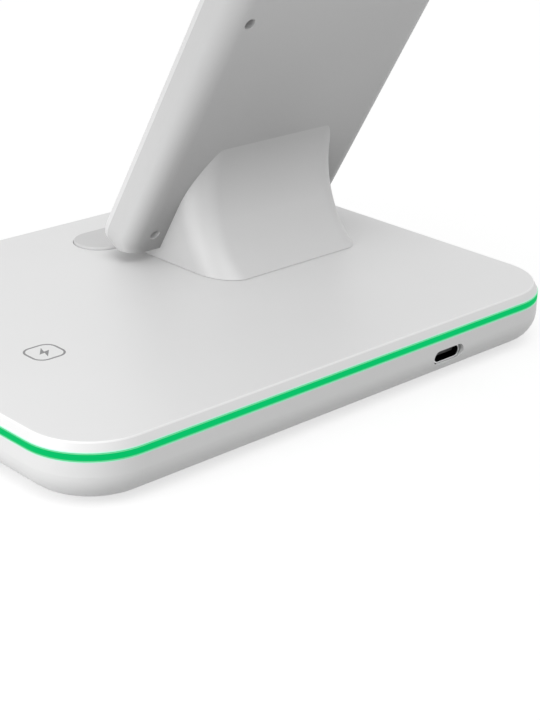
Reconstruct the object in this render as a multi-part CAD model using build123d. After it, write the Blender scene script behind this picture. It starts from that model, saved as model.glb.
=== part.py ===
from build123d import *
from math import atan2, cos, degrees, radians, sin, sqrt
import os

# Three in one wireless charger: a low base with a light ring, and a tilted phone pad on a swept neck.
# Millimetres. X to the user's right, Y to the rear, Z up; the origin is under the middle of the base.

# Base outline and layers, from the feet up
base_length = 150.0
base_width = 114.4
base_corner = 16.2
foot_proud = 0.8
lower_height = 10.2
ring_height = 1.6
upper_height = 2.13
side_round = 6.7
rim_inset = 1.19
rim_round = 0.3
wall = 2.0
lid_wall = 1.7
clearance = 0.15
thread_gap = 0.05

# Feet and the screws under them
foot_diameter = 13.0
foot_pocket = 0.8
screw_inset = 17.0
boss_diameter = 8.5
lid_boss_diameter = 6.5
boss_height = 6.2
base_shank = 2.4
base_head = 4.6
base_head_height = 1.7
base_head_seat = 1.4
base_bite = 3.0

# Light ring, its strip of lamps and the rib that centres it
ring_width = 4.0
rib_width = 1.2
strip_thickness = 0.4
chip_length = 3.0
chip_depth = 1.0
chip_height = 1.2
chip_spacing = 22.0

# Phone pad
pad_side_inset = 5.41
pad_width = 71.7
pad_length = 104.9
pad_thickness = 10.15
pad_corner = 9.2
pad_back_round = 5.8
pad_tilt = 60.0
pad_front_inset = 25.22
pad_lift = 3.0
pad_floor_step = 1.0
pad_floor_round = 0.6
cover_thickness = 1.45
cover_edge_round = 0.4
cover_lip = 1.5
pad_hole_inset = 7.0
pad_hole_low = 12.15
pad_hole_pitch = 66.25
pad_hole_diameter = 2.9
pad_post_diameter = 5.4
pad_seat = 1.2
pad_shank = 1.4
pad_head = 2.5
pad_head_height = 1.1
pad_bite = 3.0

# Neck
neck_width = 48.8
neck_shift = 0.5
neck_reach = 38.4
neck_setback = 5.7
neck_sweep = 25.6
neck_edge_round = 7.0
neck_dip = 0.25
neck_floor = 2.0
seam_height = 0.1
seam_depth = 0.25
neck_post_diameter = 5.4
neck_post_height = 6.0
neck_shank = 2.0
neck_head = 3.8
neck_head_height = 1.4
neck_hole_span = (32.0, 13.0)
neck_holes_back = 17.6
bracket_size = (42.0, 22.0)
bracket_corner = 3.0
bracket_thickness = 1.5
duct_size = (24.0, 10.0)
duct_corner = 2.0
duct_lip = 1.2

# Phone rest strip on the base
rest_length = 69.6
rest_width = 13.5
rest_forward = 6.75
rest_proud = 0.65
rest_pocket = 0.8
rest_round = 0.5

# Coils
coil_thickness = 1.2
ferrite_thickness = 0.8
ferrite_margin = 1.5
earbud_side_inset = 26.47
earbud_rear_inset = 46.12
earbud_coil_inner = 15.0
coil_edge_gap = 1.62
watch_side_inset = 36.0
watch_forward = 33.5
watch_coil_outer = 25.0
watch_coil_inner = 13.0
watch_magnet_diameter = 9.0
phone_coil_outer = 46.0
phone_coil_inner = 20.0
phone_coil_pitch = 30.0
carrier_thickness = 0.8
carrier_margin = 3.4
carrier_post = 2.6

# Socket and main board
usb_width = 8.94
usb_height = 3.26
usb_length = 7.35
usb_metal = 0.3
usb_setback = 1.0
usb_side_inset = 42.5
usb_centre = 5.85
usb_heel = 1.8
mouth_width = 10.2
mouth_height = 3.5
tongue_width = 6.7
tongue_thickness = 0.7
tongue_length = 4.4
board_length = 40.0
board_width = 32.0
board_thickness = 1.2
board_corner = 1.5
board_rear_gap = 2.0
board_hole_inset = 3.5
board_post_diameter = 4.8
board_shank = 1.6
board_head = 3.0
board_head_height = 1.0
board_bite = 2.3
driver_size = 5.0
driver_height = 0.9
driver_pitch = 10.0
driver_forward = 15.0
connector_length = 7.0
connector_width = 5.0
connector_height = 4.4
connector_inset = 3.0

# Ballast plate
ballast_side_inset = 27.0
ballast_front_inset = 13.2
ballast_rear_gap = 9.2
ballast_corner = 4.0
ballast_thickness = 3.0
ballast_lift = 1.2
ballast_hole_inset = 6.0
ballast_post_diameter = 6.0

# Leads
pad_lead_diameter = 2.2
pad_lead_back = 21.1
pad_lead_rise = 3.1
pad_lead_turn = 6.0
coil_lead_diameter = 1.2
coil_lead_turn = 4.0
coil_lead_inset = 4.0
coil_lead_landing = 9.0
coil_lead_run_x = 8.0
coil_lead_pitch = 6.0
terminal_length = 10.0
terminal_width = 6.0
terminal_height = 2.2
terminal_above = 22.0

# Heights worked out from the layers
shell_z = foot_proud
floor_z = shell_z + wall
ring_z = shell_z + lower_height
lid_z = ring_z + ring_height
top_z = lid_z + upper_height
ceiling_z = top_z - lid_wall
boss_z = floor_z + boss_height
board_z = shell_z + usb_centre - usb_height / 2

# Places worked out from the base's edges and from the pad
half_length = base_length / 2
rear_y = base_width / 2
usb_x = usb_side_inset - half_length
board_rear_y = rear_y - wall - board_rear_gap
board_front_y = board_rear_y - board_width
board_mid_y = (board_rear_y + board_front_y) / 2
pad_x = pad_side_inset + pad_width / 2 - half_length
pad_front_y = pad_front_inset - rear_y
pad_lead_y = pad_front_y + pad_lead_back
neck_rear_y = pad_front_y + neck_reach
neck_front_y = pad_front_y + neck_setback
neck_mid_y = pad_front_y + neck_holes_back
rest_y = pad_front_y - rest_forward
rib_inset = ring_width + clearance
earbud_spot = (half_length - earbud_side_inset, rear_y - earbud_rear_inset)
earbud_coil_outer = 2 * (earbud_side_inset - rib_inset - rib_width - coil_edge_gap - ferrite_margin)
watch_spot = (half_length - watch_side_inset, earbud_spot[1] - watch_forward)
ballast_front_y = ballast_front_inset - rear_y
ballast_rear_y = board_front_y - ballast_rear_gap
ballast_y = (ballast_front_y + ballast_rear_y) / 2
ballast_size = (base_length - 2 * ballast_side_inset, ballast_rear_y - ballast_front_y)
connector_front_y = board_front_y + connector_inset
base_coil_z = ceiling_z - coil_thickness
rim_depth = pad_thickness - cover_thickness
pad_front_z = top_z + pad_lift * sin(radians(pad_tilt))
pad_floor_z = pad_front_z - cover_thickness * cos(radians(pad_tilt)) + pad_floor_step
pad_middle = pad_lift + pad_length / 2

# Layers inside the pad, from its front face back
pad_post_front = pad_bite + clearance
coil_back = -cover_thickness - coil_thickness
ferrite_back = coil_back - coil_thickness - ferrite_thickness
carrier_back = ferrite_back - carrier_thickness
carrier_size = (
    phone_coil_outer + 2 * ferrite_margin,
    phone_coil_outer + phone_coil_pitch + 2 * ferrite_margin,
)
lead_depth = clearance + pad_lead_diameter / 2 - carrier_back
lead_bend_along = (pad_lead_back - lead_depth * sin(radians(pad_tilt))) / cos(radians(pad_tilt))
terminal_along = lead_bend_along + terminal_above

pad_plane = Plane(
    origin=(pad_x, pad_front_y, top_z),
    x_dir=(1, 0, 0),
    z_dir=(0, -sin(radians(pad_tilt)), cos(radians(pad_tilt))),
)


def slab(plane, length, width, corner, bottom, height, x=0.0, y=0.0):
    # A rounded rectangle on a plane, raised from one level by a height
    return extrude(plane.offset(bottom) * Pos(x, y) * RectangleRounded(length, width, corner), height)


def rod(plane, x, y, bottom, height, diameter):
    # A round bar that stands on a plane
    return extrude(plane.offset(bottom) * Pos(x, y) * Circle(diameter / 2), height)


def base_slab(inset, bottom, height):
    # The base's outline, drawn in by an inset
    return slab(
        Plane.XY, base_length - 2 * inset, base_width - 2 * inset, base_corner - inset, bottom, height
    )


def pad_slab(inset, back, height):
    # The pad's outline, drawn in by an inset, from a depth under its front face
    return slab(
        pad_plane, pad_width - 2 * inset, pad_length - 2 * inset, pad_corner - inset, -back, height,
        y=pad_middle,
    )


def bottom_edges(solid, plane=Plane.XY):
    return solid.faces().sort_by(Axis(plane.origin, plane.z_dir))[0].edges()


def top_edges(solid, plane=Plane.XY):
    return solid.faces().sort_by(Axis(plane.origin, plane.z_dir))[-1].edges()


def above(solid, height):
    # What a level cut leaves over it
    return split(solid, bisect_by=Plane.XY.offset(height), keep=Keep.TOP)


def four(x, y, middle=(0.0, 0.0)):
    # The corners of a rectangle of half sizes x and y
    return [(middle[0] + i * x, middle[1] + j * y) for i in (-1, 1) for j in (-1, 1)]


def screw(plane, x, y, seat, shank, length, head, head_height):
    # A pan head screw that points along the plane's normal, its head under the seat
    body = rod(plane, x, y, seat, length, shank)
    return body + rod(plane, x, y, seat - head_height, head_height, head)


def pad_point(along, depth):
    # Where a point of the pad's side view lies, as Y and Z
    tilt = radians(pad_tilt)
    return (
        pad_front_y + along * cos(tilt) + depth * sin(tilt),
        top_z + along * sin(tilt) - depth * cos(tilt),
    )


def lead(points, diameter, turn):
    # A held lead: straight runs joined by round turns
    path = FilletPolyline(*points, radius=turn)
    start = Plane(origin=path @ 0, z_dir=path % 0)
    return sweep(start * Circle(diameter / 2), path=path)


screw_places = four(half_length - screw_inset, rear_y - screw_inset)
board_places = four(
    board_length / 2 - board_hole_inset, board_width / 2 - board_hole_inset, (usb_x, board_mid_y)
)
ballast_places = four(
    ballast_size[0] / 2 - ballast_hole_inset, ballast_size[1] / 2 - ballast_hole_inset, (0.0, ballast_y)
)
neck_places = four(neck_hole_span[0] / 2, neck_hole_span[1] / 2, (pad_x, neck_mid_y))
pad_hole_x = pad_width / 2 - pad_hole_inset
pad_places = [
    (side * pad_hole_x, pad_lift + pad_hole_low + row * pad_hole_pitch)
    for side in (-1, 1)
    for row in (0, 1)
]


def base_bottom_shell():
    shell = fillet(bottom_edges(base_slab(0.0, shell_z, lower_height)), side_round)
    room = base_slab(wall, floor_z, lower_height - wall)
    shell -= fillet(bottom_edges(room), side_round - wall)
    for x, y in screw_places:
        shell += rod(Plane.XY, x, y, floor_z, boss_height, boss_diameter)
        shell -= rod(Plane.XY, x, y, shell_z, foot_pocket, foot_diameter + 2 * clearance)
        shell -= rod(
            Plane.XY, x, y, shell_z, wall + base_head_seat, base_head + 2 * clearance
        )
        shell -= rod(Plane.XY, x, y, shell_z, wall + boss_height, base_shank + 2 * clearance)
    for x, y in board_places:
        shell += rod(Plane.XY, x, y, floor_z, board_z - board_thickness - floor_z, board_post_diameter)
        shell -= rod(
            Plane.XY, x, y, board_z - board_thickness - board_bite, board_bite, board_shank + 2 * thread_gap
        )
    for x, y in ballast_places:
        shell += rod(Plane.XY, x, y, floor_z, ballast_lift, ballast_post_diameter)
        shell -= rod(
            Plane.XY, x, y, floor_z + ballast_lift - board_bite, board_bite, board_shank + 2 * thread_gap
        )
    mouth = Plane(origin=(usb_x, rear_y, shell_z + usb_centre), x_dir=(1, 0, 0), z_dir=(0, -1, 0))
    return shell - extrude(mouth * SlotOverall(mouth_width, mouth_height), 2 * wall)


def base_top_shell():
    outline = Plane.XY.offset(lid_z) * RectangleRounded(base_length, base_width, base_corner)
    shell = extrude(outline, upper_height, taper=degrees(atan2(rim_inset, upper_height)))
    shell = fillet(top_edges(shell), rim_round)
    shell -= base_slab(wall, lid_z, upper_height - lid_wall)
    rib = base_slab(rib_inset, ring_z, ceiling_z - ring_z)
    shell += rib - base_slab(rib_inset + rib_width, ring_z, ceiling_z - ring_z)
    for x, y in screw_places:
        shell += rod(Plane.XY, x, y, boss_z, ceiling_z - boss_z, lid_boss_diameter)
        shell -= rod(Plane.XY, x, y, boss_z, base_bite + clearance, base_shank + 2 * thread_gap)
    for x, y in neck_places:
        shell -= rod(Plane.XY, x, y, ceiling_z, lid_wall, neck_shank + 2 * clearance)
    shell -= slab(Plane.XY, *duct_size, duct_corner, ceiling_z, lid_wall, pad_x, pad_lead_y)
    pocket = Plane.XY.offset(top_z - rest_pocket) * Pos(pad_x, rest_y)
    return shell - extrude(
        pocket * SlotOverall(rest_length + 2 * clearance, rest_width + 2 * clearance), rest_pocket
    )


def light_ring():
    return base_slab(0.0, ring_z, ring_height) - base_slab(ring_width, ring_z, ring_height)


def led_strip():
    outer = wall + thread_gap
    bottom = shell_z + usb_centre + mouth_height / 2 + clearance
    height = ring_z - bottom
    return base_slab(outer, bottom, height) - base_slab(outer + strip_thickness, bottom, height)


def led_chips():
    inset = wall + thread_gap + strip_thickness + chip_depth / 2
    long_count = int((base_length - 2 * base_corner) // chip_spacing)
    short_count = int((base_width - 2 * base_corner) // chip_spacing)
    chips = []
    for side in (-1, 1):
        for i in range(long_count):
            x = (i - (long_count - 1) / 2) * chip_spacing
            chips.append((x, side * (rear_y - inset), chip_length, chip_depth))
        for i in range(short_count):
            y = (i - (short_count - 1) / 2) * chip_spacing
            chips.append((side * (half_length - inset), y, chip_depth, chip_length))
    chip_z = ring_z - chip_height / 2
    return [Pos(x, y, chip_z) * Box(length, depth, chip_height) for x, y, length, depth in chips]


def rubber_feet():
    return [
        rod(Plane.XY, x, y, 0.0, foot_proud + foot_pocket, foot_diameter) for x, y in screw_places
    ]


def base_screws():
    seat = floor_z + base_head_seat
    length = boss_z - seat + base_bite
    return [
        screw(Plane.XY, x, y, seat, base_shank, length, base_head, base_head_height)
        for x, y in screw_places
    ]


def main_board():
    board = slab(
        Plane.XY, board_length, board_width, board_corner, board_z - board_thickness, board_thickness,
        usb_x, board_mid_y,
    )
    for x, y in board_places:
        board -= rod(
            Plane.XY, x, y, board_z - board_thickness, board_thickness, board_shank + 2 * clearance
        )
    return board


def downward(height):
    # A plane that looks down, for the screws that go in from above; its second axis runs to the front
    return Plane(origin=(0, 0, height), x_dir=(1, 0, 0), z_dir=(0, 0, -1))


def board_screws():
    length = board_thickness + board_bite - clearance
    return [
        screw(downward(board_z), x, -y, 0.0, board_shank, length, board_head, board_head_height)
        for x, y in board_places
    ]


def driver_chips():
    y = board_rear_y - driver_forward
    return [
        Pos(usb_x + i * driver_pitch, y, board_z + driver_height / 2)
        * Box(driver_size, driver_size, driver_height)
        for i in (-1, 0, 1)
    ]


def lead_connector():
    middle = (pad_x, connector_front_y + connector_width / 2, board_z + connector_height / 2)
    return Pos(*middle) * Box(connector_length, connector_width, connector_height)


def usb_plane():
    # The socket's mouth, looking in from the rear
    return Plane(
        origin=(usb_x, rear_y - usb_setback, shell_z + usb_centre), x_dir=(1, 0, 0), z_dir=(0, -1, 0)
    )


def usb_c_shell():
    outer = extrude(usb_plane() * SlotOverall(usb_width, usb_height), usb_length)
    inner = SlotOverall(usb_width - 2 * usb_metal, usb_height - 2 * usb_metal)
    return outer - extrude(usb_plane() * inner, usb_length)


def usb_c_tongue():
    inset = usb_metal + thread_gap
    heel = usb_plane().offset(usb_length - usb_heel)
    block = extrude(heel * SlotOverall(usb_width - 2 * inset, usb_height - 2 * inset), usb_heel)
    return block + extrude(heel * Rectangle(tongue_width, tongue_thickness), -tongue_length)


def ballast_plate():
    bottom = floor_z + ballast_lift
    plate = slab(Plane.XY, *ballast_size, ballast_corner, bottom, ballast_thickness, 0.0, ballast_y)
    for x, y in ballast_places:
        plate -= rod(Plane.XY, x, y, bottom, ballast_thickness, board_shank + 2 * clearance)
    return plate


def ballast_screws():
    seat = floor_z + ballast_lift + ballast_thickness
    length = ballast_thickness + board_bite - clearance
    return [
        screw(downward(seat), x, -y, 0.0, board_shank, length, board_head, board_head_height)
        for x, y in ballast_places
    ]


def flat_coil(plane, x, y, back, outer, inner):
    # A flat wound coil, from its rear face forward
    return rod(plane, x, y, back, coil_thickness, outer) - rod(plane, x, y, back, coil_thickness, inner)


def base_ferrite(spot, outer):
    return rod(
        Plane.XY, *spot, base_coil_z - ferrite_thickness, ferrite_thickness, outer + 2 * ferrite_margin
    )


def watch_magnet():
    return rod(Plane.XY, *watch_spot, base_coil_z, coil_thickness, watch_magnet_diameter)


def coil_lead(spot, outer, lane):
    # From a base coil's rim along under the lid, then down onto the main board
    z = base_coil_z + coil_thickness / 2
    x = coil_lead_run_x + lane * coil_lead_pitch
    y = board_front_y + coil_lead_inset + lane * coil_lead_pitch
    end_x = usb_x + board_length / 2 - coil_lead_landing
    start_x = spot[0] - outer / 2 - clearance
    points = [(start_x, spot[1], z), (x, spot[1], z), (x, y, z), (end_x, y, z), (end_x, y, board_z)]
    return lead(points, coil_lead_diameter, coil_lead_turn)


def phone_rest_strip():
    plane = Plane.XY.offset(top_z - rest_pocket) * Pos(pad_x, rest_y)
    strip = extrude(plane * SlotOverall(rest_length, rest_width), rest_pocket + rest_proud)
    return fillet(top_edges(strip), rest_round)


def neck_body(inset, bottom):
    # The neck's side view: one sweep from the foot's rear up into the pad's back, drawn in by an inset
    depth = pad_thickness - neck_dip + neck_sweep
    foot_along = (neck_rear_y - pad_front_y) * cos(radians(pad_tilt))
    foot_depth = (neck_rear_y - pad_front_y) * sin(radians(pad_tilt))
    centre_along = foot_along + sqrt(neck_sweep**2 - (depth - foot_depth) ** 2)
    centre = pad_point(centre_along, depth)
    radius = neck_sweep + inset
    top = pad_point(centre_along, depth - radius)
    rim = pad_point(centre_along, cover_thickness)
    front = neck_front_y + inset
    front_along = (front - pad_front_y - cover_thickness * sin(radians(pad_tilt))) / cos(radians(pad_tilt))
    rear = centre[0] - sqrt(radius**2 - (centre[1] - bottom) ** 2)
    side = Plane.YZ.offset(pad_x + neck_shift - neck_width / 2 + inset)
    sweep_arc = RadiusArc((rear, bottom), top, radius)
    edge = Polyline(top, rim, pad_point(front_along, cover_thickness), (front, bottom), (rear, bottom))
    body = extrude(side * make_face(Curve() + [sweep_arc, edge]), neck_width - 2 * inset)
    rear_edges = body.edges().filter_by(GeomType.CIRCLE)
    return fillet(rear_edges, neck_edge_round - inset)


def stand_shell():
    # The pad's rear tray, its lower end cut level, and the neck are one moulding
    tray = fillet(bottom_edges(pad_slab(0.0, pad_thickness, rim_depth), pad_plane), pad_back_round)
    tray = above(tray, pad_floor_z)
    floor_edges = tray.faces().filter_by(GeomType.PLANE).sort_by(Axis.Z)[0].edges()
    tray = fillet(floor_edges.sort_by(Axis.Y)[-1], pad_floor_round)
    room = pad_slab(wall, pad_thickness - wall, rim_depth - wall)
    room = fillet(bottom_edges(room, pad_plane), pad_back_round - wall)
    foot_top = Plane.XY.offset(top_z + 2 * seam_height)
    foot = split(neck_body(seam_depth, top_z), bisect_by=foot_top, keep=Keep.BOTTOM)
    shell = tray + neck_body(0.0, top_z + seam_height) + foot
    shell -= above(room, pad_floor_z + wall)
    shell -= neck_body(wall, top_z + neck_floor)
    for x, y in neck_places:
        post_z = top_z + neck_floor
        shell += rod(Plane.XY, x, y, post_z, neck_post_height, neck_post_diameter)
        shell -= rod(Plane.XY, x, y, top_z, neck_post_height, neck_shank + 2 * thread_gap)
    lip = [side - 2 * clearance for side in duct_size]
    hole = [side - 2 * duct_lip for side in lip]
    shell += slab(Plane.XY, *lip, duct_corner, ceiling_z, lid_wall + neck_floor, pad_x, pad_lead_y)
    shell -= slab(
        Plane.XY, *hole, duct_corner - duct_lip / 2, ceiling_z, lid_wall + neck_floor, pad_x, pad_lead_y
    )
    post_front = cover_thickness + pad_post_front
    for x, y in pad_places:
        shell += rod(
            pad_plane, x, y, wall - pad_thickness, rim_depth - wall - pad_post_front, pad_post_diameter
        )
        shell -= rod(
            pad_plane, x, y, -pad_thickness, pad_thickness - post_front - pad_seat, pad_hole_diameter
        )
        shell -= rod(pad_plane, x, y, -pad_thickness, pad_thickness - post_front, pad_shank + 2 * clearance)
    return shell


def pad_front_cover():
    cover = fillet(top_edges(pad_slab(0.0, cover_thickness, cover_thickness), pad_plane), cover_edge_round)
    lip = pad_slab(wall + clearance, cover_thickness + cover_lip, cover_lip)
    lip -= pad_slab(wall + clearance + rib_width, cover_thickness + cover_lip, cover_lip)
    cover += above(lip, pad_floor_z + 2 * wall)
    for x, y in pad_places:
        cover += rod(pad_plane, x, y, -cover_thickness - pad_post_front, pad_post_front, pad_post_diameter)
        cover -= rod(
            pad_plane, x, y, -cover_thickness - pad_post_front, pad_post_front, pad_shank + 2 * thread_gap
        )
    rows = (carrier_size[1] + carrier_margin) / 2
    for x, y in four(carrier_size[0] / 2 - carrier_margin, rows, (0.0, pad_middle)):
        cover += rod(pad_plane, x, y, ferrite_back, -cover_thickness - ferrite_back, carrier_post)
    return cover


def pad_screws():
    seat = -cover_thickness - pad_post_front - pad_seat
    return [
        screw(pad_plane, x, y, seat, pad_shank, pad_seat + pad_bite, pad_head, pad_head_height)
        for x, y in pad_places
    ]


def phone_coil(row, layer):
    y = pad_middle + (row - 0.5) * phone_coil_pitch
    back = coil_back - layer * coil_thickness
    return flat_coil(pad_plane, 0.0, y, back, phone_coil_outer, phone_coil_inner)


def phone_ferrite():
    return slab(
        pad_plane, *carrier_size, carrier_margin, ferrite_back, ferrite_thickness, y=pad_middle
    )


def coil_carrier():
    return slab(
        pad_plane, carrier_size[0], carrier_size[1] + 2 * carrier_margin, carrier_margin, carrier_back,
        carrier_thickness, y=pad_middle,
    )


def neck_bracket():
    bottom = ceiling_z - bracket_thickness
    plate = slab(
        Plane.XY, *bracket_size, bracket_corner, bottom, bracket_thickness, pad_x, neck_mid_y
    )
    plate -= slab(Plane.XY, *duct_size, duct_corner, bottom, bracket_thickness, pad_x, pad_lead_y)
    for x, y in neck_places:
        plate -= rod(Plane.XY, x, y, bottom, bracket_thickness, neck_shank + 2 * clearance)
    return plate


def neck_screws():
    seat = ceiling_z - bracket_thickness
    length = bracket_thickness + lid_wall + neck_post_height - clearance
    return [
        screw(Plane.XY, x, y, seat, neck_shank, length, neck_head, neck_head_height)
        for x, y in neck_places
    ]


def terminal_block():
    middle = pad_plane * Pos(
        0.0, terminal_along + terminal_width / 2, carrier_back - terminal_height / 2
    )
    return middle * Box(terminal_length, terminal_width, terminal_height)


def pad_lead():
    # From the board's connector under the duct, up the neck and along the pad's back
    z = board_z + pad_lead_rise
    points = [
        (pad_x, connector_front_y, z),
        (pad_x, pad_lead_y, z),
        (pad_x, *pad_point(lead_bend_along, lead_depth)),
        (pad_x, *pad_point(terminal_along, lead_depth)),
    ]
    return lead(points, pad_lead_diameter, pad_lead_turn)


pieces = {
    "base_bottom_shell": base_bottom_shell(),
    "base_top_shell": base_top_shell(),
    "light_ring": light_ring(),
    "led_strip": led_strip(),
    "led_chips": led_chips(),
    "rubber_feet": rubber_feet(),
    "base_screws": base_screws(),
    "ballast_plate": ballast_plate(),
    "ballast_screws": ballast_screws(),
    "main_board": main_board(),
    "board_screws": board_screws(),
    "driver_chips": driver_chips(),
    "lead_connector": lead_connector(),
    "usb_c_shell": usb_c_shell(),
    "usb_c_tongue": usb_c_tongue(),
    "earbud_coil": flat_coil(Plane.XY, *earbud_spot, base_coil_z, earbud_coil_outer, earbud_coil_inner),
    "earbud_ferrite": base_ferrite(earbud_spot, earbud_coil_outer),
    "earbud_lead": coil_lead(earbud_spot, earbud_coil_outer, 1),
    "watch_coil": flat_coil(Plane.XY, *watch_spot, base_coil_z, watch_coil_outer, watch_coil_inner),
    "watch_ferrite": base_ferrite(watch_spot, watch_coil_outer),
    "watch_magnet": watch_magnet(),
    "watch_lead": coil_lead(watch_spot, watch_coil_outer, 0),
    "phone_rest_strip": phone_rest_strip(),
    "stand_shell": stand_shell(),
    "neck_bracket": neck_bracket(),
    "neck_screws": neck_screws(),
    "pad_front_cover": pad_front_cover(),
    "pad_screws": pad_screws(),
    "phone_coil_upper": phone_coil(1, 0),
    "phone_coil_lower": phone_coil(0, 1),
    "phone_ferrite": phone_ferrite(),
    "coil_carrier": coil_carrier(),
    "terminal_block": terminal_block(),
    "pad_lead": pad_lead(),
}

os.makedirs("parts", exist_ok=True)
for name, piece in pieces.items():
    solids = Compound(children=piece) if isinstance(piece, list) else piece
    export_step(solids, f"parts/{name}.step")
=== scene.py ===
import math

import bmesh
import bpy
from mathutils import Matrix, Vector


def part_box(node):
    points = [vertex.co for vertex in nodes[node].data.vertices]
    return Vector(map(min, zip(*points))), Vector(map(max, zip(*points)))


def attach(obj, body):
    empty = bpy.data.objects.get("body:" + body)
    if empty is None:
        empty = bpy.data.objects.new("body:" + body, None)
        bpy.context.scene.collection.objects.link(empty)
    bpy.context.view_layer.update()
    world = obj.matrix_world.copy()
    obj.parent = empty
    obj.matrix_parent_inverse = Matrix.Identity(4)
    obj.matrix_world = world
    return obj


# Wireless charging stand: finishes, small added pieces, light and camera, all in metres in the CAD frame.

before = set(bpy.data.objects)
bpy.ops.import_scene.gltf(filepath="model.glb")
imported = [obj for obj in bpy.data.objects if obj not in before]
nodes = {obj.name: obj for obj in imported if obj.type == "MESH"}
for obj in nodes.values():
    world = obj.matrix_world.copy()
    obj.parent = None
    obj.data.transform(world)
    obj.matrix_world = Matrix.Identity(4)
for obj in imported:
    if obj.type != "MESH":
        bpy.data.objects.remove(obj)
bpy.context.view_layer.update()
mm = 0.001
print("frame loaded:", len(nodes), "nodes")


# Helpers for materials

def toLinear(hexColour):    # sRGB hex to linear RGBA
    channels = [int(hexColour[i:i + 2], 16) / 255 for i in (1, 3, 5)]
    return tuple(c / 12.92 if c <= 0.04045 else ((c + 0.055) / 1.055) ** 2.4 for c in channels) + (1.0,)


def addNode(tree, kind, settings=None, links=None):    # settings go to the node or its sockets
    node = tree.nodes.new(kind)
    for key, value in (settings or {}).items():
        if isinstance(key, str) and hasattr(node, key):
            setattr(node, key, value)
        else:
            node.inputs[key].default_value = value
    for key, source in (links or {}).items():
        tree.links.new(source, node.inputs[key])
    return node


def pointPlace(tree):    # the place of each point in metres
    return addNode(tree, "ShaderNodeTexCoord").outputs["Object"]


def startMaterial(name):    # an empty material with its shader, and the place of each point
    material = bpy.data.materials.new(name)
    material.use_nodes = True
    tree = material.node_tree
    tree.nodes.clear()
    shader = addNode(tree, "ShaderNodeBsdfPrincipled")
    addNode(tree, "ShaderNodeOutputMaterial", links={"Surface": shader.outputs["BSDF"]})
    return material, tree, shader, pointPlace(tree)


def reopen(material):    # a finished material's tree, shader and colour
    tree = material.node_tree
    shader = next(node for node in tree.nodes if node.type == "BSDF_PRINCIPLED")
    return tree, shader, shader.inputs["Base Color"].links[0].from_socket


def setRamp(node, stops):    # colour stops, from left to right
    ramp = node.color_ramp
    while len(ramp.elements) < len(stops):
        ramp.elements.new(0.5)
    for element, (place, colour) in zip(ramp.elements, stops):
        element.position = place
        element.color = toLinear(colour)


def perMm(size):    # texture scale for a feature of that size in millimetres
    return 1 / (size * mm)


# The finishes

def mouldedPlastic(name, s):
    # Injection moulded plastic: an even satin skin with the mould's fine spark-eroded grain.
    # The real grain is about 0.05 mm; it is drawn coarser, so that it shows.
    material, tree, shader, place = startMaterial(name)
    flow = addNode(tree, "ShaderNodeTexNoise", {"Scale": perMm(s["flowMm"]), "Detail": 2}, {"Vector": place})
    tint = addNode(tree, "ShaderNodeMix",
                   {"data_type": "RGBA", 6: toLinear(s["colour"]), 7: toLinear(s["shade"])},
                   {0: flow.outputs["Fac"]})
    gloss = addNode(tree, "ShaderNodeMapRange",
                    {"To Min": s["roughness"] - s["glossDrift"], "To Max": s["roughness"] + s["glossDrift"]},
                    {"Value": flow.outputs["Fac"]})
    grain = addNode(tree, "ShaderNodeTexNoise", {"Scale": perMm(s["grainMm"]), "Detail": 3},
                    {"Vector": place})
    skin = addNode(tree, "ShaderNodeBump",
                   {"Strength": s["grainStrength"], "Distance": s["grainDepthMm"] * mm},
                   {"Height": grain.outputs["Fac"]})
    shader.inputs["IOR"].default_value = s["ior"]
    tree.links.new(tint.outputs[2], shader.inputs["Base Color"])
    tree.links.new(gloss.outputs["Result"], shader.inputs["Roughness"])
    tree.links.new(skin.outputs["Normal"], shader.inputs["Normal"])
    return material


def litShell(name, s):
    # The base's white mouldings: the same satin skin, with a painted highlight, a paler white on the lid's
    # rounded top edge, and, above and below the light band, a thin lip with painted glow: green emission and
    # a green-to-mint colour on the white plastic.
    material = mouldedPlastic(name, s)
    tree, shader, skin = reopen(material)
    height = addNode(tree, "ShaderNodeSeparateXYZ", links={"Vector": pointPlace(tree)}).outputs["Z"]
    # painted highlight: a paler white on the lid's rounded top edge, between these heights
    low, soft, high = (level * mm for level in s["rimMm"])
    rise = addNode(tree, "ShaderNodeMapRange", {"From Min": low, "From Max": soft}, {"Value": height})
    under = addNode(tree, "ShaderNodeMath", {"operation": "LESS_THAN", 1: high}, {0: height})
    rim = addNode(tree, "ShaderNodeMath", {"operation": "MULTIPLY"},
                  {0: rise.outputs["Result"], 1: under.outputs["Value"]})
    tint = addNode(tree, "ShaderNodeMix", {"data_type": "RGBA", 7: toLinear(s["rim"])},
                   {0: rim.outputs["Value"], 6: skin})
    # painted glow: beside the light band the white lips get green emission and a dark green to mint colour
    bottom, top = (level * mm for level in s["bandMm"])
    offset = addNode(tree, "ShaderNodeMath", {"operation": "SUBTRACT", 1: (bottom + top) / 2}, {0: height})
    away = addNode(tree, "ShaderNodeMath", {"operation": "ABSOLUTE"}, {0: offset.outputs["Value"]})
    start = (top - bottom) / 2
    reach = s["lipMm"] * mm
    along = addNode(tree, "ShaderNodeMapRange", {"From Min": start, "From Max": start + reach},
                    {"Value": away.outputs["Value"]})
    glow = addNode(tree, "ShaderNodeValToRGB", links={"Fac": along.outputs["Result"]})
    setRamp(glow, s["lipPaintedGlow"])
    lipPaintedGlowColour = addNode(tree, "ShaderNodeValToRGB", links={"Fac": along.outputs["Result"]})
    setRamp(lipPaintedGlowColour, s["lipPaintedGlowColour"])
    lip = addNode(tree, "ShaderNodeMath", {"operation": "LESS_THAN", 1: start + reach},
                  {0: away.outputs["Value"]})
    both = addNode(tree, "ShaderNodeMix", {"data_type": "RGBA"},
                   {0: lip.outputs["Value"], 6: tint.outputs[2], 7: lipPaintedGlowColour.outputs["Color"]})
    shader.inputs["Emission Strength"].default_value = 1
    tree.links.new(both.outputs[2], shader.inputs["Base Color"])
    tree.links.new(glow.outputs["Color"], shader.inputs["Emission Color"])
    return material


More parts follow.
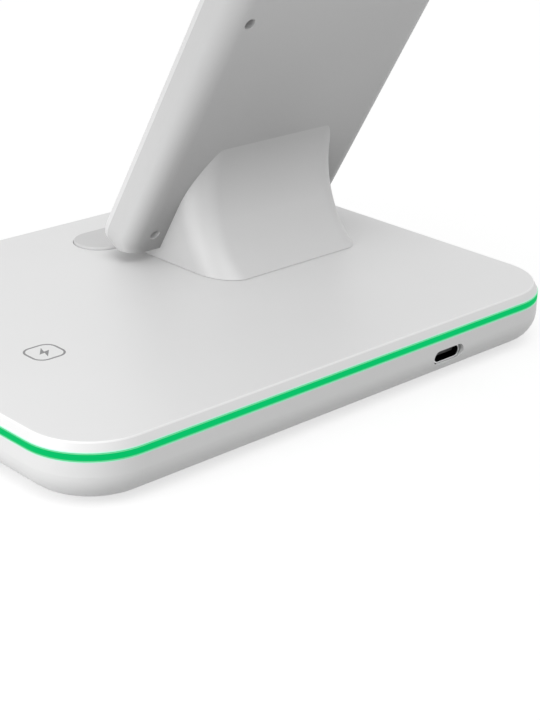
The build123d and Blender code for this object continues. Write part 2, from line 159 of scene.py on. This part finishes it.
whiteAbs = litShell("moulded_white_ABS", {
    "colour": "#E9E9E9", "shade": "#E6E6E6", "ior": 1.54, "roughness": 0.40, "glossDrift": 0.03,
    "flowMm": 35, "grainMm": 0.4, "grainDepthMm": 0.004, "grainStrength": 0.5,
    # painted highlight: a paler white along the lid's top edge
    "rim": "#F5F5F5", "rimMm": (14.34, 14.46, 14.726), "bandMm": (11.0, 12.6), "lipMm": 0.38,
    # painted glow on the white lips by the band: its emission ramp, then its colour ramp
    "lipPaintedGlow": ((0.0, "#03B963"), (0.22, "#03B963"), (0.36, "#2F9A76"), (1.0, "#000000")),
    "lipPaintedGlowColour": ((0.0, "#063B22"), (0.22, "#063B22"), (0.36, "#9AD9BE"), (1.0, "#E8E8E8")),
})


def paintedShadeShell(name, s):
    # The stand's white moulding: the same satin skin, set greyer than the base's white as painted shade, and
    # greyer still, painted shade, where it faces down and rearwards in closed-in places under the pad,
    # towards the join with the neck.
    material = mouldedPlastic(name, s)
    tree, shader, skin = reopen(material)
    facing = addNode(tree, "ShaderNodeSeparateXYZ",
                     links={"Vector": addNode(tree, "ShaderNodeNewGeometry").outputs["Normal"]})
    down = addNode(tree, "ShaderNodeMapRange", {"From Min": s["down"][0], "From Max": s["down"][1]},
                   {"Value": facing.outputs["Z"]})
    rear = addNode(tree, "ShaderNodeMapRange", {"From Min": s["rear"][0], "From Max": s["rear"][1]},
                   {"Value": facing.outputs["Y"]})
    under = addNode(tree, "ShaderNodeMath", {"operation": "MULTIPLY"},
                    {0: down.outputs["Result"], 1: rear.outputs["Result"]})
    # painted shade: ambient occlusion greys the colour where the stand is closed in under the pad
    near = addNode(tree, "ShaderNodeAmbientOcclusion",
                   {"samples": s["samples"], "Distance": s["paintedShadeReachMm"] * mm})
    close = addNode(tree, "ShaderNodeMapRange",
                    {"From Min": s["open"][0], "From Max": s["open"][1], "To Min": 1, "To Max": 0},
                    {"Value": near.outputs["AO"]})
    paintedShade = addNode(tree, "ShaderNodeMath", {"operation": "MULTIPLY"},
                   {0: under.outputs["Value"], 1: close.outputs["Result"]})
    tint = addNode(tree, "ShaderNodeMix", {"data_type": "RGBA", 7: toLinear(s["paintedShade"])},
                   {0: paintedShade.outputs["Value"], 6: skin})
    tree.links.new(tint.outputs[2], shader.inputs["Base Color"])
    return material


# painted shade: a greyer white than the base's over the whole stand, and a darker grey in its crevices
standAbs = paintedShadeShell("moulded_white_ABS_painted_shade", {
    "colour": "#DADADA", "shade": "#D6D6D6", "ior": 1.54, "roughness": 0.42, "glossDrift": 0.03,
    "flowMm": 35, "grainMm": 0.4, "grainDepthMm": 0.004, "grainStrength": 0.5,
    "paintedShade": "#949494", "paintedShadeReachMm": 70, "samples": 16, "open": (0.2, 1.0),
    "down": (0.35, -0.45), "rear": (0.3, 0.8),
})
coverAbs = mouldedPlastic("moulded_bright_ABS", {
    "colour": "#EFEFEF", "shade": "#ECECEC", "ior": 1.54, "roughness": 0.36, "glossDrift": 0.03,
    "flowMm": 35, "grainMm": 0.4, "grainDepthMm": 0.003, "grainStrength": 0.5,
})
restSilicone = mouldedPlastic("moulded_silicone", {
    "colour": "#D6D6D6", "shade": "#D0D0D0", "ior": 1.41, "roughness": 0.62, "glossDrift": 0.04,
    "flowMm": 12, "grainMm": 0.35, "grainDepthMm": 0.01, "grainStrength": 0.6,
})
footRubber = mouldedPlastic("moulded_grey_rubber", {
    "colour": "#A0A0A1", "shade": "#949495", "ior": 1.52, "roughness": 0.75, "glossDrift": 0.05,
    "flowMm": 8, "grainMm": 0.5, "grainDepthMm": 0.03, "grainStrength": 0.8,
})
blackNylon = mouldedPlastic("moulded_black_nylon", {
    "colour": "#1B1B1C", "shade": "#151516", "ior": 1.53, "roughness": 0.48, "glossDrift": 0.06,
    "flowMm": 3, "grainMm": 0.25, "grainDepthMm": 0.01, "grainStrength": 0.6,
})
naturalPolycarbonate = mouldedPlastic("moulded_natural_polycarbonate", {
    "colour": "#E0E0DC", "shade": "#D6D6D1", "ior": 1.58, "roughness": 0.42, "glossDrift": 0.05,
    "flowMm": 15, "grainMm": 0.4, "grainDepthMm": 0.008, "grainStrength": 0.5,
})
leadPvc = mouldedPlastic("extruded_black_PVC", {
    "colour": "#343436", "shade": "#2A2A2C", "ior": 1.53, "roughness": 0.55, "glossDrift": 0.05,
    "flowMm": 5, "grainMm": 0.3, "grainDepthMm": 0.01, "grainStrength": 0.5,
})
flexFilm = mouldedPlastic("laminated_white_film", {
    "colour": "#E4E4DE", "shade": "#DCDCD4", "ior": 1.56, "roughness": 0.35, "glossDrift": 0.04,
    "flowMm": 6, "grainMm": 0.5, "grainDepthMm": 0.006, "grainStrength": 0.4,
})
ferriteSheet = mouldedPlastic("sintered_ferrite", {
    "colour": "#5B5B5E", "shade": "#4A4A4D", "ior": 2.0, "roughness": 0.66, "glossDrift": 0.10,
    "flowMm": 1.2, "grainMm": 0.3, "grainDepthMm": 0.03, "grainStrength": 0.9,
})
print("plastics and rubbers ready")


scratchStrength = 0.4    # of the bump on every drawn metal


def drawnMetal(name, s):
    # Rolled or drawn metal: bright, with fine scratches that run one way.
    # The real scratches are under 0.05 mm apart; they are drawn wider, so that they show.
    material, tree, shader, place = startMaterial(name)
    across = [perMm(s["scratchMm"])] * 3
    across[s["runs"]] = perMm(s["scratchMm"] * s["stretch"])
    turned = addNode(tree, "ShaderNodeMapping", {"Scale": across}, {"Vector": place})
    scratch = addNode(tree, "ShaderNodeTexNoise", {"Scale": 1, "Detail": 4},
                      {"Vector": turned.outputs["Vector"]})
    tint = addNode(tree, "ShaderNodeMix",
                   {"data_type": "RGBA", 6: toLinear(s["colour"]), 7: toLinear(s["shade"])},
                   {0: scratch.outputs["Fac"]})
    gloss = addNode(tree, "ShaderNodeMapRange",
                    {"To Min": s["roughness"] - s["glossDrift"], "To Max": s["roughness"] + s["glossDrift"]},
                    {"Value": scratch.outputs["Fac"]})
    skin = addNode(tree, "ShaderNodeBump", {"Strength": scratchStrength, "Distance": s["depthMm"] * mm},
                   {"Height": scratch.outputs["Fac"]})
    shader.inputs["Metallic"].default_value = 1
    tree.links.new(tint.outputs[2], shader.inputs["Base Color"])
    tree.links.new(gloss.outputs["Result"], shader.inputs["Roughness"])
    tree.links.new(skin.outputs["Normal"], shader.inputs["Normal"])
    return material


def socketMetal(name, node, s):
    # The socket's drawn steel shell: its bright steel at the cut edge of the mouth, and painted shade inside,
    # a near-black colour for the shadowed interior.
    material = drawnMetal(name, s)
    tree, shader, skin = reopen(material)
    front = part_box(node)[1].y
    depth = addNode(tree, "ShaderNodeSeparateXYZ", links={"Vector": pointPlace(tree)}).outputs["Y"]
    edge = addNode(tree, "ShaderNodeMapRange", {"From Min": front - s["edgeMm"] * mm, "From Max": front},
                   {"Value": depth})
    tint = addNode(tree, "ShaderNodeMix", {"data_type": "RGBA", 7: toLinear(s["edge"])},
                   {0: edge.outputs["Result"], 6: skin})
    tree.links.new(tint.outputs[2], shader.inputs["Base Color"])
    return material


# painted shade: near-black colour inside the shell, the steel's own bright colour only at the front edge
socketSteel = socketMetal("drawn_steel_painted_shade", "usb_c_shell", {
    "colour": "#2A2A2C", "shade": "#1E1E20", "roughness": 0.45, "glossDrift": 0.08,
    "edge": "#DADBDC", "edgeMm": 0.1, "scratchMm": 0.12, "stretch": 20, "runs": 1, "depthMm": 0.004,
})
screwZinc = drawnMetal("zinc_plated_steel", {
    "colour": "#B4B5B8", "shade": "#9FA0A4", "roughness": 0.38, "glossDrift": 0.08,
    "scratchMm": 0.2, "stretch": 3, "runs": 2, "depthMm": 0.01,
})
screwBlack = drawnMetal("black_oxide_steel", {
    "colour": "#4E4E50", "shade": "#404042", "roughness": 0.50, "glossDrift": 0.08,
    "scratchMm": 0.2, "stretch": 3, "runs": 2, "depthMm": 0.01,
})
plateZinc = drawnMetal("zinc_plated_rolled_sheet", {
    "colour": "#C2C4C8", "shade": "#ADB0B4", "roughness": 0.42, "glossDrift": 0.10,
    "scratchMm": 0.5, "stretch": 25, "runs": 0, "depthMm": 0.01,
})
magnetNickel = drawnMetal("nickel_plated_magnet", {
    "colour": "#CFCCC4", "shade": "#C0BDB5", "roughness": 0.25, "glossDrift": 0.05,
    "scratchMm": 0.3, "stretch": 2, "runs": 0, "depthMm": 0.004,
})
contactGold = drawnMetal("gold_plated_copper", {
    "colour": "#D8AE5C", "shade": "#C59A48", "roughness": 0.30, "glossDrift": 0.06,
    "scratchMm": 0.1, "stretch": 8, "runs": 1, "depthMm": 0.002,
})
print("metals ready")


def litDiffuser(name, s):
    # Frosted polycarbonate lit from behind: an even green with paler lips where the light leaks
    # along the two seams, and a faint swell of light over each lamp.
    material, tree, shader, place = startMaterial(name)
    low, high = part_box("light_ring")
    middle = (low.z + high.z) / 2
    half = (high.z - low.z) / 2
    axes = addNode(tree, "ShaderNodeSeparateXYZ", links={"Vector": place})
    offset = addNode(tree, "ShaderNodeMath", {"operation": "SUBTRACT", 1: middle}, {0: axes.outputs["Z"]})
    away = addNode(tree, "ShaderNodeMath", {"operation": "ABSOLUTE"}, {0: offset.outputs["Value"]})
    lip = addNode(tree, "ShaderNodeMapRange",
                  {"interpolation_type": "SMOOTHSTEP", "From Min": half - s["lipMm"] * mm, "From Max": half},
                  {"Value": away.outputs["Value"]})
    swell = addNode(tree, "ShaderNodeTexNoise", {"Scale": perMm(s["lampPitchMm"]), "Detail": 0},
                    {"Vector": place})
    glow = addNode(tree, "ShaderNodeMix",
                   {"data_type": "RGBA", 6: toLinear(s["glow"]), 7: toLinear(s["glowBright"])},
                   {0: swell.outputs["Fac"]})
    edge = addNode(tree, "ShaderNodeMix", {"data_type": "RGBA", 7: toLinear(s["lip"])},
                   {0: lip.outputs["Result"], 6: glow.outputs[2]})
    shader.inputs["Base Color"].default_value = toLinear(s["body"])
    shader.inputs["Roughness"].default_value = s["roughness"]
    shader.inputs["IOR"].default_value = s["ior"]
    shader.inputs["Specular IOR Level"].default_value = s["specular"]
    shader.inputs["Emission Strength"].default_value = s["strength"]
    tree.links.new(edge.outputs[2], shader.inputs["Emission Color"])
    return material


lightBand = litDiffuser("frosted_lit_polycarbonate", {
    "body": "#063B22", "glow": "#03B963", "glowBright": "#04C069", "lip": "#9FE9C6", "lipMm": 0.16,
    "lampPitchMm": 22, "strength": 1.0, "roughness": 0.60, "ior": 1.58, "specular": 0.01,
})


def castResin(name, s):
    # Lamp chips: clear resin over a yellow phosphor dot, glossy as poured.
    material, tree, shader, place = startMaterial(name)
    cells = addNode(tree, "ShaderNodeTexVoronoi", {"Scale": perMm(s["dotMm"])}, {"Vector": place})
    tint = addNode(tree, "ShaderNodeMix",
                   {"data_type": "RGBA", 6: toLinear(s["phosphor"]), 7: toLinear(s["body"])},
                   {0: cells.outputs["Distance"]})
    shader.inputs["Roughness"].default_value = s["roughness"]
    shader.inputs["IOR"].default_value = s["ior"]
    shader.inputs["Emission Strength"].default_value = s["strength"]
    shader.inputs["Emission Color"].default_value = toLinear(s["glow"])
    tree.links.new(tint.outputs[2], shader.inputs["Base Color"])
    return material


lampResin = castResin("cast_epoxy_lamps", {
    "phosphor": "#D8D07A", "body": "#ECEBDD", "glow": "#03C36A", "strength": 0.6,
    "dotMm": 1.5, "roughness": 0.2, "ior": 1.54,
})


def solderResist(name, s):
    # Printed circuit board: green resist over copper tracks, which show as paler straight lines.
    material, tree, shader, place = startMaterial(name)
    tracks = addNode(tree, "ShaderNodeTexBrick",
                     {"Scale": perMm(s["trackPitchMm"]), "Mortar Size": s["trackShare"],
                      "Brick Width": s["trackRun"],
                      "Row Height": 1, "Color1": toLinear(s["resist"]), "Color2": toLinear(s["resistDark"]),
                      "Mortar": toLinear(s["track"])}, {"Vector": place})
    raised = addNode(tree, "ShaderNodeBump",
                     {"Strength": s["trackStrength"], "Distance": s["trackDepthMm"] * mm},
                     {"Height": tracks.outputs["Fac"]})
    shader.inputs["Roughness"].default_value = s["roughness"]
    shader.inputs["IOR"].default_value = s["ior"]
    tree.links.new(tracks.outputs["Color"], shader.inputs["Base Color"])
    tree.links.new(raised.outputs["Normal"], shader.inputs["Normal"])
    return material


boardLaminate = solderResist("solder_resist_on_laminate", {
    "resist": "#1B6B43", "resistDark": "#17613C", "track": "#2F8A58", "trackPitchMm": 1.6, "trackShare": 0.12,
    "trackRun": 7, "trackDepthMm": 0.03, "trackStrength": 0.5, "roughness": 0.3, "ior": 1.55,
})


def woundCopper(name, node, s):
    # Enamelled copper wire wound flat: bright turns with a dark line between each and the next.
    material, tree, shader, place = startMaterial(name)
    low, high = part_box(node)
    centred = addNode(tree, "ShaderNodeMapping", {"Location": -(low + high) / 2}, {"Vector": place})
    turns = addNode(tree, "ShaderNodeTexWave",
                    {"wave_type": "RINGS", "rings_direction": "SPHERICAL",
                     "Scale": math.pi / (10 * s["wireMm"] * mm)}, {"Vector": centred.outputs["Vector"]})
    tint = addNode(tree, "ShaderNodeMix",
                   {"data_type": "RGBA", 6: toLinear(s["gap"]), 7: toLinear(s["wire"])},
                   {0: turns.outputs["Fac"]})
    raised = addNode(tree, "ShaderNodeBump",
                     {"Strength": s["turnStrength"], "Distance": s["wireMm"] / 4 * mm},
                     {"Height": turns.outputs["Fac"]})
    shader.inputs["Metallic"].default_value = 1
    shader.inputs["Roughness"].default_value = s["roughness"]
    tree.links.new(tint.outputs[2], shader.inputs["Base Color"])
    tree.links.new(raised.outputs["Normal"], shader.inputs["Normal"])
    return material


copperWire = {"wire": "#D98E5A", "gap": "#6B3A20", "wireMm": 0.8, "turnStrength": 0.8, "roughness": 0.32}
print("light band, board and coil finishes ready")


# Which node has which finish

finishes = {
    "base_bottom_shell": whiteAbs, "base_top_shell": whiteAbs, "stand_shell": standAbs,
    "pad_front_cover": coverAbs, "phone_rest_strip": restSilicone, "rubber_feet": footRubber,
    "light_ring": lightBand, "led_strip": flexFilm, "led_chips": lampResin,
    "usb_c_shell": socketSteel, "usb_c_tongue": blackNylon,
    "base_screws": screwZinc, "board_screws": screwZinc, "ballast_screws": screwZinc,
    "neck_screws": screwZinc, "pad_screws": screwBlack,
    "ballast_plate": plateZinc, "neck_bracket": plateZinc, "watch_magnet": magnetNickel,
    "main_board": boardLaminate, "driver_chips": blackNylon, "lead_connector": blackNylon,
    "terminal_block": blackNylon, "coil_carrier": naturalPolycarbonate,
    "earbud_ferrite": ferriteSheet, "watch_ferrite": ferriteSheet, "phone_ferrite": ferriteSheet,
    "earbud_lead": leadPvc, "watch_lead": leadPvc, "pad_lead": leadPvc,
}
for coil in ("earbud_coil", "watch_coil", "phone_coil_upper", "phone_coil_lower"):
    finishes[coil] = woundCopper("wound_enamelled_copper_" + coil, coil, copperWire)
for name, material in finishes.items():
    nodes[name].data.materials.clear()
    nodes[name].data.materials.append(material)
print("finishes on", len(finishes), "of", len(nodes), "nodes")


# Small added pieces

def newPiece(name, mesh, material):    # a piece whose mesh is already in place, fixed to the charger
    data = bpy.data.meshes.new(name)
    bmesh.ops.recalc_face_normals(mesh, faces=mesh.faces)
    mesh.to_mesh(data)
    mesh.free()
    data.materials.append(material)
    piece = bpy.data.objects.new(name, data)
    bpy.context.collection.objects.link(piece)
    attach(piece, "root")
    return piece


def roundedLoop(width, length, corner, steps):    # points of a rounded rectangle about the origin
    points = []
    for quarter in range(4):
        side = (1, -1, -1, 1)[quarter], (1, 1, -1, -1)[quarter]
        for i in range(steps + 1):
            angle = math.radians(90 * (quarter + i / steps))
            points.append((side[0] * (width / 2 - corner) + corner * math.cos(angle),
                           side[1] * (length / 2 - corner) + corner * math.sin(angle)))
    return points


def raiseFaces(mesh, faces, height):    # flat faces become a thin solid
    top = bmesh.ops.extrude_face_region(mesh, geom=faces)["geom"]
    moved = [item for item in top if isinstance(item, bmesh.types.BMVert)]
    bmesh.ops.translate(mesh, verts=moved, vec=(0, 0, height))


mark = {
    "ink": "#8E8E8F", "inkDark": "#868687", "thicknessMm": 0.02,
    "placeMm": (48.53, 11.08), "sizeMm": (7.85, 7.5), "cornerMm": 2.5, "strokeMm": 0.5, "cornerSteps": 10,
    "boltMm": ((0.8, 2.4), (-1.55, -0.4), (-0.12, -0.28), (-0.8, -2.4), (1.55, 0.4), (0.12, 0.28)),
}


def chargingMark(s):    # a generic bolt in a rounded square, pad printed on the lid
    mesh = bmesh.new()
    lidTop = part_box("base_top_shell")[1].z
    stroke = s["strokeMm"] / 2
    loops = []
    for grow in (stroke, -stroke):
        loop = roundedLoop(s["sizeMm"][0] + 2 * grow, s["sizeMm"][1] + 2 * grow, s["cornerMm"] + grow,
                           s["cornerSteps"])
        loops.append([mesh.verts.new(point + (0,)) for point in loop])
    faces = []
    for i in range(len(loops[0])):
        j = (i + 1) % len(loops[0])
        faces.append(mesh.faces.new((loops[0][i], loops[0][j], loops[1][j], loops[1][i])))
    raiseFaces(mesh, faces, s["thicknessMm"])
    bolt = mesh.faces.new([mesh.verts.new(point + (0,)) for point in s["boltMm"]])
    raiseFaces(mesh, [bolt], s["thicknessMm"])
    bmesh.ops.scale(mesh, vec=(mm, mm, mm), verts=mesh.verts)
    bmesh.ops.translate(mesh, verts=mesh.verts, vec=(s["placeMm"][0] * mm, s["placeMm"][1] * mm, lidTop))
    return mesh


markInk = mouldedPlastic("pad_printed_ink", {
    "colour": mark["ink"], "shade": mark["inkDark"], "ior": 1.5, "roughness": 0.5, "glossDrift": 0.04,
    "flowMm": 2, "grainMm": 0.2, "grainDepthMm": 0.004, "grainStrength": 0.5,
})
newPiece("charging_mark", chargingMark(mark), markInk)

contacts = {
    "count": 12, "pitchMm": 0.5, "widthMm": 0.25, "lengthMm": 3.0, "fromTipMm": 0.5, "thicknessMm": 0.02,
    "tongueMm": 0.7,
}


def socketContacts(s):    # gold strips on both faces of the socket's tongue
    mesh = bmesh.new()
    low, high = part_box("usb_c_tongue")
    middle = (low + high) / 2
    tip = high.y - s["fromTipMm"] * mm
    for face in (-1, 1):
        for i in range(s["count"]):
            x = middle.x + (i - (s["count"] - 1) / 2) * s["pitchMm"] * mm
            z = middle.z + face * (s["tongueMm"] + s["thicknessMm"]) / 2 * mm
            place = Matrix.Translation((x, tip - s["lengthMm"] / 2 * mm, z))
            size = Matrix.Diagonal((s["widthMm"] * mm, s["lengthMm"] * mm, s["thicknessMm"] * mm, 1))
            bmesh.ops.create_cube(mesh, size=1, matrix=place @ size)
    return mesh


newPiece("socket_contacts", socketContacts(contacts), contactGold)
print("added pieces ready")


# Floor, light and camera

stage = {
    "floorSizeM": 12, "floor": "#A8A8A8", "floorLift": 0.67, "ambient": 0.58,
    "key": {"placeMm": (240, 25, 45), "aimMm": (60, 0, 10), "sizeMm": 160, "watts": 0.22},
    "top": {"from": (0.22, 0.40, 0.89), "strength": 0.98, "spreadDeg": 45},
}


def seenRays(tree):    # one for rays that show the background: camera, reflections and glass
    path = addNode(tree, "ShaderNodeLightPath")
    straight = addNode(tree, "ShaderNodeMath", {"operation": "MAXIMUM"},
                       {0: path.outputs["Is Camera Ray"], 1: path.outputs["Is Glossy Ray"]})
    either = addNode(tree, "ShaderNodeMath", {"operation": "MAXIMUM"},
                     {0: straight.outputs["Value"], 1: path.outputs["Is Transmission Ray"]})
    return either.outputs["Value"]


def paleFloor(s):    # matt studio floor that looks white and still takes the charger's shadow
    material = bpy.data.materials.new("matt_studio_floor")
    material.use_nodes = True
    tree = material.node_tree
    tree.nodes.clear()
    matt = addNode(tree, "ShaderNodeBsdfDiffuse", {"Color": toLinear(s["floor"])})
    lift = addNode(tree, "ShaderNodeEmission", {"Strength": s["floorLift"]})
    both = addNode(tree, "ShaderNodeAddShader", links={0: matt.outputs["BSDF"], 1: lift.outputs["Emission"]})
    pick = addNode(tree, "ShaderNodeMixShader",
                   links={0: seenRays(tree), 1: matt.outputs["BSDF"], 2: both.outputs["Shader"]})
    addNode(tree, "ShaderNodeOutputMaterial", links={"Surface": pick.outputs["Shader"]})
    bpy.ops.mesh.primitive_plane_add(size=s["floorSizeM"])
    floor = bpy.context.object
    floor.name = "studio_floor"
    floor.data.materials.append(material)


def whiteWorld(s):    # soft light from all round, white where it is seen
    world = bpy.data.worlds.new("studio_world")
    bpy.context.scene.world = world
    world.use_nodes = True
    tree = world.node_tree
    tree.nodes.clear()
    soft = addNode(tree, "ShaderNodeBackground", {"Color": toLinear("#FFFFFF"), "Strength": s["ambient"]})
    seen = addNode(tree, "ShaderNodeBackground", {"Color": toLinear("#FFFFFF"), "Strength": 1})
    pick = addNode(tree, "ShaderNodeMixShader",
                   links={0: seenRays(tree), 1: soft.outputs["Background"], 2: seen.outputs["Background"]})
    addNode(tree, "ShaderNodeOutputWorld", links={"Surface": pick.outputs["Shader"]})


def addLamp(name, kind):    # a lamp at the origin, out of sight itself
    lamp = bpy.data.lights.new(name, kind)
    holder = bpy.data.objects.new(name, lamp)
    holder.visible_camera = False
    bpy.context.collection.objects.link(holder)
    return lamp, holder


def softBox(name, s):    # a square lamp near the charger, brightest on the base's end
    lamp, holder = addLamp(name, "AREA")
    lamp.energy = s["watts"]
    lamp.size = s["sizeMm"] * mm
    place, aim = Vector(s["placeMm"]) * mm, Vector(s["aimMm"]) * mm
    holder.location = place
    holder.rotation_euler = (place - aim).to_track_quat("Z", "Y").to_euler()


def farLamp(name, s):    # a wide lamp far off, even over the whole floor
    lamp, holder = addLamp(name, "SUN")
    lamp.energy = s["strength"]
    lamp.angle = math.radians(s["spreadDeg"])
    holder.rotation_euler = Vector(s["from"]).to_track_quat("Z", "Y").to_euler()


paleFloor(stage)
whiteWorld(stage)
softBox("key_lamp", stage["key"])
farLamp("top_lamp", stage["top"])
print("floor and light ready")

camera = {
    "placeMm": (246.33, 287.84, 158.01),
    "headingDeg": 223.83,    # from +Y towards +X
    "downDeg": 23.15, "rollDeg": -1.26,
    "focalPx": 1686.92, "framePx": 720, "sensorMm": 36,
}


def photoCamera(s):    # the photograph's own point of view
    heading, down, roll = (math.radians(s[key]) for key in ("headingDeg", "downDeg", "rollDeg"))
    forward = Vector((math.cos(down) * math.sin(heading),
                      math.cos(down) * math.cos(heading), -math.sin(down)))
    level = forward.cross(Vector((0, 0, 1))).normalized()
    under = forward.cross(level)
    right = math.cos(roll) * level + math.sin(roll) * under
    above = math.sin(roll) * level - math.cos(roll) * under
    data = bpy.data.cameras.new("photo_camera")
    data.sensor_fit = "VERTICAL"
    data.sensor_height = s["sensorMm"]
    data.lens = s["focalPx"] / s["framePx"] * s["sensorMm"]
    data.clip_start = 0.01
    holder = bpy.data.objects.new("photo_camera", data)
    turn = Matrix((right, above, -forward)).transposed().to_4x4()
    holder.matrix_world = Matrix.Translation(Vector(s["placeMm"]) * mm) @ turn
    bpy.context.collection.objects.link(holder)
    bpy.context.scene.camera = holder


photoCamera(camera)
bpy.context.scene.view_settings.view_transform = "Standard"
print("camera ready")
